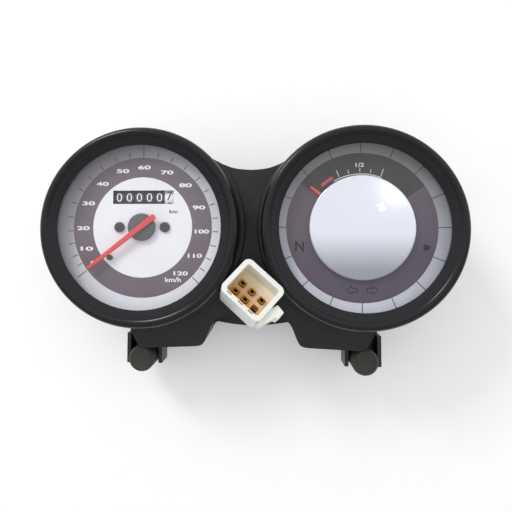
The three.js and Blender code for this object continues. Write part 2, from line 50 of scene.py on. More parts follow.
# ---- PLACES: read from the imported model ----


def middle(node):
    low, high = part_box(node)
    return (Vector(low) + Vector(high)) / 2


def top_of(node):
    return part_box(node)[1][2] / MM


def bottom_of(node):
    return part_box(node)[0][2] / MM


LEFT_MIDDLE, RIGHT_MIDDLE = middle("left_bezel"), middle("right_bezel")
MIDDLE = (LEFT_MIDDLE + RIGHT_MIDDLE) / 2
DIAL_X = (RIGHT_MIDDLE.x - LEFT_MIDDLE.x) / 2 / MM
CLUSTER = Matrix.Translation((MIDDLE.x, MIDDLE.y, 0)) @ Matrix.Scale(MM, 4)
LEFT = CLUSTER @ Matrix.Translation((-DIAL_X, 0, 0))
RIGHT = CLUSTER @ Matrix.Translation((DIAL_X, 0, 0))
GAUGES = {"left": LEFT, "right": RIGHT}

FACE_Z = top_of("left_bezel")
BEZEL_R = 48.4
DIAL_TOP = top_of("speedometer_dial")
BRIDGE_TOP = 42.0
PARTING_Z = top_of("rear_cover")
PLATE_Z = 18.0
POD_R = 47.2
BORE_R = 43.4
LIP_R = 39.7
GAP = 0.3

PLUG_MIDDLE = Vector((1.8, -28.4, 67.0))
PLUG_AXIS = Vector((0.143, 0.307, 0.94)).normalized()
PLUG_TURN = -0.74
PLUG = (
    CLUSTER
    @ Matrix.Translation(PLUG_MIDDLE)
    @ (Vector((0, 0, 1)).rotation_difference(PLUG_AXIS) @ Quaternion((0, 0, 1), PLUG_TURN)).to_matrix().to_4x4()
)
PLUG_SIZE = (23.6, 20.1, 22.0)
PLUG_WALL = 2.3
PLUG_CAVITY = 11.0
TERMINALS = [(6.0 * column, 5.0 * row - 1.4) for row in (0.5, -0.5) for column in (-1, 0, 1)]


# ---- CAMERA ----


def make_camera():
    data = bpy.data.cameras.new("camera")
    data.lens = 32.08
    data.sensor_width = 36
    data.shift_x = 0.024
    data.shift_y = -0.082
    data.clip_start = 0.01
    camera = bpy.data.objects.new("camera", data)
    right = Vector((0.9982, 0.0026, -0.0594))
    up = Vector((0.0004, 0.9987, 0.0513))
    back = Vector((0.0594, -0.0513, 0.9969))
    turn = Matrix((right, up, back)).transposed().to_4x4()
    camera.matrix_world = Matrix.Translation(CLUSTER @ Vector((9.99, -4.93, FACE_Z + 213.2))) @ turn
    bpy.context.collection.objects.link(camera)
    bpy.context.scene.camera = camera


make_camera()


# ---- MATERIALS ----


def srgb(red, green, blue):
    def linear(value):
        value /= 255
        return value / 12.92 if value <= 0.04045 else ((value + 0.055) / 1.055) ** 2.4

    return (linear(red), linear(green), linear(blue), 1.0)


def shaded(colour, factor):
    return (*(min(1.0, c * factor) for c in colour[:3]), 1.0)


class Nodes:
    """A material's node tree, with short calls for what the materials below share."""

    def __init__(self, name):
        self.material = bpy.data.materials.new(name)
        self.material.use_nodes = True
        self.tree = self.material.node_tree
        self.shader = self.tree.nodes["Principled BSDF"]
        self.place = self.tree.nodes.new("ShaderNodeTexCoord").outputs["Object"]

    def new(self, kind, **values):
        node = self.tree.nodes.new(kind)
        for key, value in values.items():
            setattr(node, key, value)
        return node

    def link(self, output, socket):
        self.tree.links.new(output, socket)

    def noise(self, size_mm, detail=3.0, stretch=(1, 1, 1)):
        mapping = self.new("ShaderNodeMapping")
        mapping.inputs["Scale"].default_value = stretch
        self.link(self.place, mapping.inputs["Vector"])
        noise = self.new("ShaderNodeTexNoise")
        noise.inputs["Scale"].default_value = 1 / (size_mm * MM)
        noise.inputs["Detail"].default_value = detail
        self.link(mapping.outputs["Vector"], noise.inputs["Vector"])
        return noise.outputs["Fac"]

    def ramp(self, value, *stops):
        ramp = self.new("ShaderNodeValToRGB")
        while len(ramp.color_ramp.elements) < len(stops):
            ramp.color_ramp.elements.new(0.5)
        for element, (position, colour) in zip(ramp.color_ramp.elements, stops):
            element.position = position
            element.color = colour
        self.link(value, ramp.inputs["Fac"])
        return ramp.outputs["Color"]

    def span(self, value, low, high):
        span = self.new("ShaderNodeMapRange")
        span.inputs["From Min"].default_value = 0.3
        span.inputs["From Max"].default_value = 0.7
        span.inputs["To Min"].default_value = low
        span.inputs["To Max"].default_value = high
        self.link(value, span.inputs["Value"])
        return span.outputs["Result"]

    def bump(self, height, strength, distance_mm):
        bump = self.new("ShaderNodeBump")
        bump.inputs["Strength"].default_value = strength
        bump.inputs["Distance"].default_value = distance_mm * MM
        self.link(height, bump.inputs["Height"])
        self.link(bump.outputs["Normal"], self.shader.inputs["Normal"])


def moulded(name, colour, roughness=0.45, mottle=0.12, grain_mm=0.35, grain=0.25, specks=None, **sockets):
    """Moulded plastic, rubber or printed film: a fine grain, slow changes of tone, and dust if specks is a colour."""
    nodes = Nodes(name)
    slow = nodes.noise(14)
    tone = nodes.ramp(slow, (0.3, shaded(colour, 1 - mottle)), (0.7, shaded(colour, 1 + mottle)))
    if specks:
        dust = nodes.ramp(nodes.noise(0.7, 1.0), (0.69, (0, 0, 0, 1)), (0.76, (1, 1, 1, 1)))
        mix = nodes.new("ShaderNodeMix", data_type="RGBA")
        nodes.link(dust, mix.inputs["Factor"])
        nodes.link(tone, mix.inputs[6])
        mix.inputs[7].default_value = specks
        tone = mix.outputs[2]
    nodes.link(tone, nodes.shader.inputs["Base Color"])
    nodes.link(nodes.span(nodes.noise(5), roughness * 0.85, roughness * 1.15), nodes.shader.inputs["Roughness"])
    nodes.bump(nodes.noise(grain_mm), grain, 0.03)
    for socket, value in sockets.items():
        nodes.shader.inputs[socket.replace("_", " ")].default_value = value
    return nodes.material


def worked_metal(name, colour, roughness=0.35, stretch=(1, 1, 8), scratch_mm=0.6, grain=0.2):
    """Turned, drawn or pressed metal: stretched brush marks and slightly stained colour."""
    nodes = Nodes(name)
    nodes.shader.inputs["Metallic"].default_value = 1.0
    stain = nodes.ramp(nodes.noise(6), (0.3, shaded(colour, 0.82)), (0.7, shaded(colour, 1.1)))
    nodes.link(stain, nodes.shader.inputs["Base Color"])
    brush = nodes.noise(scratch_mm, 4.0, stretch)
    nodes.link(nodes.span(brush, roughness * 0.75, roughness * 1.3), nodes.shader.inputs["Roughness"])
    nodes.bump(brush, grain, 0.02)
    return nodes.material


def clear_glass(name, roughness=0.02):
    """Clear plastic: the camera sees glass, and light passes it unbent to what is behind."""
    nodes = Nodes(name)
    nodes.shader.inputs["Base Color"].default_value = (1, 1, 1, 1)
    nodes.shader.inputs["Roughness"].default_value = roughness
    nodes.shader.inputs["Transmission Weight"].default_value = 1.0
    nodes.shader.inputs["IOR"].default_value = 1.45
    clear = nodes.new("ShaderNodeBsdfTransparent")
    mix = nodes.new("ShaderNodeMixShader")
    path = nodes.new("ShaderNodeLightPath")
    seen = nodes.new("ShaderNodeMath", operation="MAXIMUM")
    nodes.link(path.outputs["Is Camera Ray"], seen.inputs[0])
    nodes.link(path.outputs["Is Transmission Ray"], seen.inputs[1])
    nodes.link(seen.outputs[0], mix.inputs[0])
    nodes.link(clear.outputs[0], mix.inputs[1])
    nodes.link(nodes.shader.outputs[0], mix.inputs[2])
    nodes.link(mix.outputs[0], nodes.tree.nodes["Material Output"].inputs["Surface"])
    return nodes.material


def faded(name, upper, lower, low_y, high_y, roughness=0.3, lean=0.0, **sockets):
    """A surface with painted light and shade: its colour goes from one tone to another up the dial, leaning sideways
    by lean.
    """
    nodes = Nodes(name)
    axes = nodes.new("ShaderNodeSeparateXYZ")
    nodes.link(nodes.place, axes.inputs[0])
    sideways = nodes.new("ShaderNodeMath", operation="MULTIPLY_ADD")
    nodes.link(axes.outputs["X"], sideways.inputs[0])
    sideways.inputs[1].default_value = lean
    nodes.link(axes.outputs["Y"], sideways.inputs[2])
    height = nodes.new("ShaderNodeMapRange")
    height.inputs["From Min"].default_value = low_y
    height.inputs["From Max"].default_value = high_y
    nodes.link(sideways.outputs[0], height.inputs["Value"])
    rough_edge = nodes.new("ShaderNodeMath", operation="MULTIPLY_ADD")
    nodes.link(nodes.noise(9), rough_edge.inputs[0])
    rough_edge.inputs[1].default_value = 0.12
    nodes.link(height.outputs["Result"], rough_edge.inputs[2])
    nodes.link(nodes.ramp(rough_edge.outputs[0], (0.05, lower), (1.0, upper)), nodes.shader.inputs["Base Color"])
    nodes.shader.inputs["Roughness"].default_value = roughness
    nodes.bump(nodes.noise(2.0), 0.02, 0.02)
    for socket, value in sockets.items():
        nodes.shader.inputs[socket.replace("_", " ")].default_value = value
    return nodes.material


CASE = moulded(
    "case_plastic", srgb(34, 33, 37), 0.42, 0.18, 0.3, 0.35, specks=srgb(76, 76, 80), Specular_IOR_Level=0.4
)
REAR = moulded("rear_plastic", srgb(34, 34, 32), 0.5, 0.15, 0.35, 0.4, specks=srgb(62, 62, 60))
BEZEL = moulded("bezel_plastic", srgb(19, 19, 22), 0.22, 0.1, 0.5, 0.05, Specular_IOR_Level=0.35)
LENS = clear_glass("lens")
# Painted shade and reflection: the silver print darkens towards the top-left, standing in for the bezel's shadow and
# the lens's reflection.
SILVER_PRINT_PAINTED_SHADE = faded(
    "silver_print_painted_shade", srgb(140, 137, 142), srgb(240, 240, 247), MIDDLE.y - 0.003, MIDDLE.y + 0.072, 0.4, -0.5
)
SMOKE_PRINT = moulded("smoke_print", srgb(112, 98, 108), 0.5, 0.05, 0.3, 0.02, Specular_IOR_Level=0.2)
WHITE_PRINT = moulded("white_print", srgb(243, 243, 248), 0.5, 0.02, 0.3, 0.06)
FIGURE_WHITE = moulded("figure_white", srgb(250, 250, 252), 0.45, 0.02, 0.3, 0.05)
FIGURE_BLACK = moulded("figure_black", srgb(34, 33, 36), 0.5, 0.05, 0.3, 0.05)
TICK_GREY = moulded("tick_grey", srgb(62, 58, 64), 0.5, 0.05, 0.3, 0.05)
# Painted shade: the right dial's silver ring darkens towards the top.
RIGHT_SILVER_PAINTED_SHADE = faded("right_silver_painted_shade", srgb(126, 124, 128), srgb(222, 224, 236), MIDDLE.y - 0.04, MIDDLE.y + 0.03, 0.4)
# Painted shade: the right dial's smoke ring darkens towards the bottom, leaning sideways.
RIGHT_SMOKE_PAINTED_SHADE = faded(
    "right_smoke_painted_shade", srgb(96, 80, 92), srgb(80, 68, 88), MIDDLE.y - 0.036, MIDDLE.y + 0.004, 0.5, -0.3,
    Specular_IOR_Level=0.1,
)  # fmt: skip
SCALE_WINDOW = moulded("scale_window", srgb(52, 51, 49), 0.5, 0.06, 0.3, 0.02, Specular_IOR_Level=0.1)
UNLIT = moulded("unlit_mark", srgb(12, 8, 14), 0.6, 0.05, 0.3, 0.02, Specular_IOR_Level=0.05)
RED_PRINT = moulded("red_print", srgb(196, 52, 62), 0.4, 0.06, 0.3, 0.05)
NEEDLE = moulded("needle_red", srgb(232, 62, 66), 0.4, 0.06, 0.4, 0.08, Subsurface_Weight=0.15)
HUB = moulded("hub_grey", srgb(84, 80, 86), 0.38, 0.08, 0.25, 0.1)
# Painted reflection: the glossy centre disc is bright at the top and greyer over the lower third, standing in for the
# room's reflection; its metallic finish also reflects the real lights.
DISC_PAINTED_REFLECTION = faded(
    "centre_disc", srgb(232, 233, 244), srgb(164, 165, 172), MIDDLE.y - 0.02, MIDDLE.y - 0.002, 0.12, Metallic=0.55
)
SCREW_BLACK = moulded("screw_black", srgb(52, 54, 56), 0.35, 0.15, 0.2, 0.2)
DRUM_BLACK = moulded("drum_black", srgb(46, 50, 50), 0.4, 0.08, 0.25, 0.1)
DRUM_WHITE = moulded("drum_white", srgb(246, 247, 247), 0.4, 0.03, 0.25, 0.08)
LEG = moulded("leg_paint", srgb(40, 40, 36), 0.4, 0.2, 0.5, 0.25)
RUBBER = moulded("rubber", srgb(54, 52, 46), 0.55, 0.15, 0.3, 0.35, specks=srgb(80, 78, 70))
ZINC = worked_metal("zinc_steel", srgb(182, 184, 180), 0.32)
SLEEVE = moulded("sleeve_pvc", srgb(28, 28, 30), 0.38, 0.1, 0.8, 0.3)
NYLON = moulded("connector_nylon", srgb(244, 241, 230), 0.38, 0.03, 0.5, 0.1, Subsurface_Weight=0.2)
# Painted glow: the connector's cavity floor turns from cream to orange towards one side, standing in for light shining
# through the translucent nylon.
NYLON_PAINTED_GLOW = faded("nylon_painted_glow", srgb(240, 226, 200), srgb(222, 160, 84), -0.024, -0.008, 0.45, 1.0)
BRASS = worked_metal("terminal_brass", srgb(166, 116, 42), 0.36, (6, 1, 1), 0.5, 0.3)
FRAME_METAL = worked_metal("frame_metal", srgb(168, 169, 170), 0.5, (1, 1, 1), 0.4, 0.35)
MAGNET = worked_metal("magnet_steel", srgb(112, 114, 118), 0.4)
ALUMINIUM = worked_metal("cup_aluminium", srgb(200, 201, 202), 0.3)
BRONZE = worked_metal("spring_bronze", srgb(190, 146, 74), 0.3)
GEAR = moulded("gear_nylon", srgb(232, 225, 202), 0.4, 0.05, 0.4, 0.1)
HOUSING = moulded("housing_plastic", srgb(234, 234, 228), 0.5, 0.04, 0.4, 0.15)
MOVEMENT = moulded("movement_plastic", srgb(40, 41, 44), 0.45, 0.1, 0.4, 0.2)
BULB = clear_glass("bulb_glass", 0.04)
WIRES = [
    moulded(f"wire_{name}", srgb(*colour), 0.4, 0.06, 0.5, 0.1)
    for name, colour in {
        "black": (36, 36, 38), "green": (44, 120, 72), "brown": (112, 68, 40),
        "blue": (48, 84, 160), "yellow": (214, 178, 52), "grey": (132, 134, 136),
    }.items()
]


# ---- MESH HELPERS ----


def mesh_piece(name, verts, faces, material, place=CLUSTER, crease=32):
    mesh = bpy.data.meshes.new(name)
    work = bmesh.new()
    made = [work.verts.new(place @ Vector(v)) for v in verts]
    for face in faces:
        try:
            work.faces.new([made[i] for i in face])
        except ValueError:
            continue
    bmesh.ops.remove_doubles(work, verts=work.verts, dist=1e-7)
    bmesh.ops.recalc_face_normals(work, faces=work.faces)
    work.to_mesh(mesh)
    work.free()
    return finished(bpy.data.objects.new(name, mesh), material, crease)


def finished(piece, material, crease=32):
    piece.data.materials.append(material)
    piece.data.shade_smooth()
    piece.data.set_sharp_from_angle(angle=math.radians(crease))
    bpy.context.collection.objects.link(piece)
    return piece


def fit(piece, body, slot, *nodes):
    """The piece rides on a body and stands for the CAD nodes that it replaces, which are hidden. The slot is not used.
    """
    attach(piece, body)
    if nodes:
        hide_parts(*nodes)
    return piece


def eased(points, radius, steps=4, closed=True):
    """The outline with each corner rounded, by up to radius along its edges. Points on the axis stay."""
    result = []
    count = len(points)
    for i, point in enumerate(points):
        corner = Vector(point)
        before, after = Vector(points[i - 1]), Vector(points[(i + 1) % count])
        if not closed and (corner.x == 0 or i in (0, count - 1)):
            result.append(corner)
            continue
        start = corner + (before - corner).normalized() * min(radius, (before - corner).length * 0.45)
        end = corner + (after - corner).normalized() * min(radius, (after - corner).length * 0.45)
        for step in range(steps + 1):
            t = step / steps
            result.append(start * (1 - t) ** 2 + corner * 2 * t * (1 - t) + end * t**2)
    return result


def turned(name, profile, material, place, segments=128, ease=0.0):
    """A turning about the place's Z from [radius, height] points, which close on themselves or on the axis."""
    if ease:
        profile = eased(profile, ease, 3, closed=all(r > 0 for r, _ in profile))
    count = len(profile)
    verts = []
    for i in range(segments):
        angle = 2 * math.pi * i / segments
        verts += [(r * math.cos(angle), r * math.sin(angle), z) for r, z in profile]
    faces = []
    for i in range(segments):
        this, following = i * count, (i + 1) % segments * count
        for j in range(count):
            k = (j + 1) % count
            if profile[j][0] == 0 and profile[k][0] == 0:
                continue
            faces.append(face_without_poles(profile, j, k, this, following))
    return mesh_piece(name, verts, faces, material, place)


def face_without_poles(profile, j, k, this, following):
    if profile[j][0] == 0:
        return (this + j, this + k, following + k)
    if profile[k][0] == 0:
        return (this + j, this + k, following + j)
    return (this + j, this + k, following + k, following + j)


def slab(name, outline, z0, z1, material, place=CLUSTER, bevel=0.0):
    count = len(outline)
    verts = [(x, y, z0) for x, y in outline] + [(x, y, z1) for x, y in outline]
    faces = [tuple(range(count)), tuple(range(count, 2 * count))]
    faces += [(i, (i + 1) % count, (i + 1) % count + count, i + count) for i in range(count)]
    piece = mesh_piece(name, verts, faces, material, place)
    return soften(piece, bevel) if bevel else piece


def soften(piece, width, segments=3, angle=40):
    bevel = piece.modifiers.new("edges", "BEVEL")
    bevel.width = width * MM
    bevel.segments = segments
    bevel.limit_method = "ANGLE"
    bevel.angle_limit = math.radians(angle)
    bevel.harden_normals = True
    return piece


def settled(piece):
    """The piece with its modifiers applied."""
    depsgraph = bpy.context.evaluated_depsgraph_get()
    mesh = bpy.data.meshes.new_from_object(piece.evaluated_get(depsgraph))
    piece.modifiers.clear()
    piece.data = mesh
    return piece


def carve(piece, *cutters, operation="DIFFERENCE"):
    for cutter in cutters:
        change = piece.modifiers.new("cut", "BOOLEAN")
        change.operation = operation
        change.object = cutter
        change.solver = "EXACT"
        settled(piece)
        bpy.data.objects.remove(cutter)
    piece.data.shade_smooth()
    piece.data.set_sharp_from_angle(angle=math.radians(32))
    return piece


def drill(radius, z0, z1, x=0, y=0, place=CLUSTER, segments=64):
    return turned(
        "drill", [(0, z0), (radius, z0), (radius, z1), (0, z1)], CASE, place @ Matrix.Translation((x, y, 0)), segments
    )


def box_piece(name, x0, x1, y0, y1, z0, z1, material, place=CLUSTER):
    return slab(name, [(x0, y0), (x1, y0), (x1, y1), (x0, y1)], z0, z1, material, place)


# ---- FLAT PRINT HELPERS: each gives (points, faces) in a dial's plane ----


def polar(radius, degrees):
    angle = math.radians(degrees)
    return radius * math.sin(angle), radius * math.cos(angle)


def radial_bar(degrees, r0, r1, width):
    along = Vector(polar(1, degrees))
    across = Vector((along.y, -along.x)) * width / 2
    corners = [along * r0 - across, along * r1 - across, along * r1 + across, along * r0 + across]
    return [tuple(c) for c in corners], [(0, 1, 2, 3)]


def band(r0, r1, start, end):
    steps = max(2, int(abs(end - start) / 2))
    points = []
    for i in range(steps + 1):
        angle = start + (end - start) * i / steps
        points += [polar(r0, angle), polar(r1, angle)]
    return points, [(2 * i, 2 * i + 1, 2 * i + 3, 2 * i + 2) for i in range(steps)]


def strokes(lines, width):
    """Bars of one width along open lines of points."""
    points, faces = [], []
    for line in lines:
        for a, b in zip(line, line[1:]):
            a, b = Vector(a), Vector(b)
            along = (b - a).normalized() * width / 2
            across = Vector((-along.y, along.x))
            first = len(points)
            points += [a - along - across, a - along + across, b + along + across, b + along - across]
            faces.append((first, first + 1, first + 2, first + 3))
    return points, faces


def figures(text, width, height, weight=0.0):
    """Text in the built-in font, centred on the origin and stretched to a width and a height."""
    curve = bpy.data.curves.new("figures", "FONT")
    curve.body = text
    curve.offset = weight
    curve.resolution_u = 5
    holder = bpy.data.objects.new("figures", curve)
    bpy.context.collection.objects.link(holder)
    mesh = bpy.data.meshes.new_from_object(holder.evaluated_get(bpy.context.evaluated_depsgraph_get()))
    bpy.data.objects.remove(holder)
    xs = [v.co.x for v in mesh.vertices]
    ys = [v.co.y for v in mesh.vertices]
    sx = width / (max(xs) - min(xs))
    sy = height / (max(ys) - min(ys))
    mx, my = (max(xs) + min(xs)) / 2, (max(ys) + min(ys)) / 2
    points = [((v.co.x - mx) * sx, (v.co.y - my) * sy) for v in mesh.vertices]
    faces = [tuple(p.vertices) for p in mesh.polygons]
    bpy.data.meshes.remove(mesh)
    return points, faces


def moved(shape, x, y):
    points, faces = shape
    return [(px + x, py + y) for px, py in points], faces


def printed(name, shapes, z, material, place):
    """One thin printed layer made of several flat shapes."""
    verts, faces = [], []
    for points, shape_faces in shapes:
        first = len(verts)
        verts += [(x, y, z) for x, y in points]
        faces += [tuple(first + i for i in face) for face in shape_faces]
    mesh = bpy.data.meshes.new(name)
    mesh.from_pydata([place @ Vector(v) for v in verts], [], faces)
    work = bmesh.new()
    work.from_mesh(mesh)
    for face in work.faces:
        face.normal_update()
        if face.normal.z < 0:
            face.normal_flip()
    work.to_mesh(mesh)
    work.free()
    return finished(bpy.data.objects.new(name, mesh), material)


# ---- HARNESS: a black sleeve from the grommet, along the table, up through the case to the connector ----

LOW = 3.3
HARNESS_DIAMETER = 5.9
WIRE_DIAMETER = 1.3
HARNESS_ROUTE = [
    (0, 16, 15.4), (-0.1, 15.3, 11.2), (-0.5, 12.6, 7), (-1.3, 8.8, 4.3), (-2.6, 4, LOW),
    (-4.3, -1.4, LOW), (-5.6, -7.4, LOW), (-5.9, -13.4, LOW), (-5.2, -19.4, LOW),
    (-3.9, -24.6, LOW), (-2.8, -29.2, 4.5), (-2.2, -33.4, 7.6), (-2, -36.2, 12), (-2, -37.5, 17),
    (-2, -37.9, 23), (-2, -37.8, 29), (-1.9, -37.5, 35), (-1.8, -37, 39.6), (-1.7, -36.3, 43.4),
]  # fmt: skip


def smooth_path(points, steps=6):
    """Points along a Catmull-Rom curve through the given ones."""
    ends = [2 * Vector(points[0]) - Vector(points[1]), *map(Vector, points)]
    ends.append(2 * Vector(points[-1]) - Vector(points[-2]))
    path = []
    for a, b, c, d in zip(ends, ends[1:], ends[2:], ends[3:]):
        for i in range(steps):
            t = i / steps
            path.append(
                (2 * b + (c - a) * t + (2 * a - 5 * b + 4 * c - d) * t**2 + (3 * b - a - 3 * c + d) * t**3) / 2
            )
    return [*path, Vector(points[-1])]


def cord_piece(name, points, diameter, material, place=CLUSTER):
    path = [place @ p for p in smooth_path(points)]
    curve = bpy.data.curves.new(name, "CURVE")
    curve.dimensions = "3D"
    curve.bevel_depth = diameter / 2 * MM
    curve.bevel_resolution = 6
    curve.use_fill_caps = True
    spline = curve.splines.new("POLY")
    spline.points.add(len(path) - 1)
    for point, position in zip(spline.points, path):
        point.co = (*position, 1)
    spline.use_smooth = True
    piece = bpy.data.objects.new(name, curve)
    piece.data.materials.append(material)
    bpy.context.collection.objects.link(piece)
    return piece, path


def make_harness():
    harness, path = cord_piece("harness_sleeve", HARNESS_ROUTE, HARNESS_DIAMETER, SLEEVE)
    fit(harness, "case", "sleeve_pvc", "harness")
    length = sum((b - a).length for a, b in zip(path, path[1:]))
    wires = []
    sleeve_end = Vector(HARNESS_ROUTE[-1])
    to_plug = CLUSTER.inverted() @ PLUG
    for i, (x, y) in enumerate(TERMINALS):
        inlet = to_plug @ Vector((x, y, -PLUG_SIZE[2] + 0.6))
        start = sleeve_end + Vector((x * 0.22, y * 0.22, -2.5))
        middle_point = start.lerp(inlet, 0.55) + Vector((0, 0, -0.2))
        route = [start, start.lerp(middle_point, 0.5), middle_point, inlet]
        wire, _ = cord_piece(f"wire_{i + 1}", route, WIRE_DIAMETER, WIRES[i])
        wires.append(fit(wire, "case", "sleeve_pvc"))
    return harness, length, path[0], wires


HARNESS, HARNESS_LENGTH, HARNESS_EXIT, HARNESS_WIRES = make_harness()


# ---- CONNECTOR ----


def rounded_rectangle(width, height, radius, steps=6, x=0.0, y=0.0):
    points = []
    corners = [(1, 1, 0), (-1, 1, 90), (-1, -1, 180), (1, -1, 270)]
    for sx, sy, start in corners:
        for i in range(steps + 1):
            angle = math.radians(start + 90 * i / steps)
            points.append(
                (
                    x + sx * (width / 2 - radius) + radius * math.cos(angle),
                    y + sy * (height / 2 - radius) + radius * math.sin(angle),
                )
            )
    return points


def make_connector():
    width, height, length = PLUG_SIZE
    inner_w, inner_h = width - 2 * PLUG_WALL, height - 2 * PLUG_WALL
    shell = slab("connector_shell", rounded_rectangle(width, height, 3), -length, 0, NYLON, PLUG)
    carve(shell, slab("drill", rounded_rectangle(inner_w, inner_h, 1.3), -length - 1, 1, NYLON, PLUG))
    for x in (-6.6, 0, 6):
        slit = rounded_rectangle(3, 0.55, 0.25, 3, x, -height / 2 + 1.7)
        carve(shell, slab("drill", slit, -3, 1, NYLON, PLUG))
    soften(shell, 0.4)
    floor = rounded_rectangle(inner_w - 0.04, inner_h - 0.04, 1.25)
    # The cavity floor carries the nylon's painted glow.
    base = slab("connector_base", floor, -length + 0.5, -PLUG_CAVITY, NYLON_PAINTED_GLOW, PLUG)
    for x, y in TERMINALS:
        carve(base, slab("drill", rounded_rectangle(3.5, 3.1, 0.5, 3, x, y), -length - 1, 1, NYLON, PLUG))
    soften(base, 0.15, 2)
    latch = make_latch(width / 2)
    pieces = [shell, base, latch]
    fit(shell, "case", "connector_nylon", "connector_housing")
    for piece in pieces[1:]:
        fit(piece, "case", "connector_nylon")
    for i in range(5):
        dress(f"terminal_{i + 1}", BRASS, 0.18)
    return pieces


LATCH = [(-0.3, -9.4), (1.6, -9.8), (4.2, -2.2), (5.7, -1.9), (5.5, 2.4), (1.3, 3), (-0.3, -1)]


def make_latch(side):
    """The latch arm on one side of the shell, ending in a square lug."""
    outline = [(side + x, y) for x, y in LATCH]
    return slab("connector_latch", outline, -13, -2, NYLON, PLUG, 0.4)


def dress(node, material, bevel=0.0):
    """A CAD node that keeps its shape gets its finish, and soft edges."""
    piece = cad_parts[node]
    piece.data.materials.clear()
    piece.data.materials.append(material)
    if bevel:
        soften(piece, bevel, 2)
    return piece


CONNECTOR = make_connector()


# ---- CASE ----

HARNESS_HOLE = (-2.0, -37.6, 4.4)
GROMMET = (0.0, 16.0, 5.0)


def half_outline(belly):
    return [
        (0, -43.5 - belly), (11, -44 - belly * 0.85), (16.5, -45.5 - belly * 0.6), (20, -48.7 - belly * 0.2),
        (23.2, -56.8), (24.6, -59.2), (27, -60.2), (54.5, -61.4), (57.4, -60.6), (58.9, -58.4), (63, -50.5),
        (58, -30), (40, 10), (30, 32), (22, 36.6), (16, 33.4), (9, 30.6), (0, 29.7),
    ]  # fmt: skip


def case_outline(belly=0.0):
    half = half_outline(belly)
    return eased([*half, *((-x, y) for x, y in reversed(half[1:-1]))], 3.2, 4)


def make_front_case():
    bridge = slab("front_case_bridge", case_outline(), PARTING_Z + GAP, BRIDGE_TOP, CASE)
    cuts = [drill(POD_R - 1.6, PARTING_Z - 1, FACE_Z, sign * DIAL_X, segments=128) for sign in (-1, 1)]
    carve(bridge, *cuts, drill(HARNESS_HOLE[2], 0, FACE_Z, HARNESS_HOLE[0], HARNESS_HOLE[1]))
    soften(bridge, 1.3, 4)
    fit(bridge, "case", "case_plastic", "front_case")
    for side, place in GAUGES.items():
        profile = [
            (BORE_R - 0.4, PARTING_Z + GAP), (POD_R - 1, PARTING_Z + GAP), (POD_R, 46.6), (45.4, 46.6),
            (45.4, 56.3), (42.9, 56.3), (42.6, DIAL_TOP + GAP), (42.6, DIAL_TOP + 0.1), (BORE_R - 0.4, DIAL_TOP + 0.1),
        ]  # fmt: skip
        fit(turned(f"{side}_pod", profile, CASE, place, 160, 0.15), "case", "case_plastic")


def make_collars():
    """The raised ring of the bridge around each pod."""
    for side, place in GAUGES.items():
        collar = turned(
            f"{side}_collar",
            [(46.4, BRIDGE_TOP - 3), (51, BRIDGE_TOP - 3), (50.4, BRIDGE_TOP + 1.2), (46.4, BRIDGE_TOP + 1.6)],
            CASE, place, 160, 0.5,
        )  # fmt: skip
        keep = slab("keep", case_outline(), BRIDGE_TOP - 4, BRIDGE_TOP + 4, CASE)
        carve(collar, keep, operation="INTERSECT")
        carve(collar, drill(HARNESS_HOLE[2], 0, FACE_Z, HARNESS_HOLE[0], HARNESS_HOLE[1]))
        fit(collar, "case", "case_plastic")


def make_rear_cover():
    plate = slab("rear_cover_plate", case_outline(9.5), PLATE_Z, PARTING_Z, REAR)
    holes = [drill(44.4, 0, FACE_Z, sign * DIAL_X, segments=128) for sign in (-1, 1)]
    holes.append(drill(HARNESS_HOLE[2], 0, FACE_Z, HARNESS_HOLE[0], HARNESS_HOLE[1]))
    holes.append(drill(GROMMET[2] + GAP, 0, FACE_Z, GROMMET[0], GROMMET[1]))
    soften(carve(plate, *holes), 0.9, 3)
    fit(plate, "case", "case_plastic", "rear_cover")
    for side, place in GAUGES.items():
        hole = 15.0 if side == "left" else 0.0
        outside = [(hole, 0), (39, 0), (41.5, 2.2), (46, PARTING_Z)]
        inside = [(BORE_R, PARTING_Z), (39.4, 4.2), (37.6, 2.5), (hole, 2.5)]
        fit(turned(f"{side}_rear_cup", [*outside, *inside], REAR, place, 128, 0.6), "case", "case_plastic")


make_front_case()
make_collars()
make_rear_cover()


# ---- BEZELS AND LENSES ----


def make_gauge_front(side, place):
    bezel = [
        (45.8, 47), (BEZEL_R - 0.4, 47), (BEZEL_R, 47.5), (BEZEL_R, 58.8), (48.25, 59.9), (47.8, 61), (47, 61.7),
        (46.1, FACE_Z), (45.3, 61.9), (44.5, 61.6), (44, 61.2), (43.8, 60.9), (43.4, 60.8), (40.1, 60.25),
        (39.75, 60.1), (LIP_R, 59.9), (39.9, 59.8), (45.8, 59.8),
    ]  # fmt: skip
    fit(turned(f"{side}_bezel_ring", bezel, BEZEL, place, 192), "case", "bezel_plastic", f"{side}_bezel")
    lens = [(0, 56.7), (45.1, 56.7), (45.1, 59.5), (0, 59.5)]
    fit(turned(f"{side}_lens_disc", lens, LENS, place, 160, 0.15), "case", "lens", f"{side}_lens")


for gauge_side, gauge_place in GAUGES.items():
    make_gauge_front(gauge_side, gauge_place)


# ---- SPEEDOMETER ----

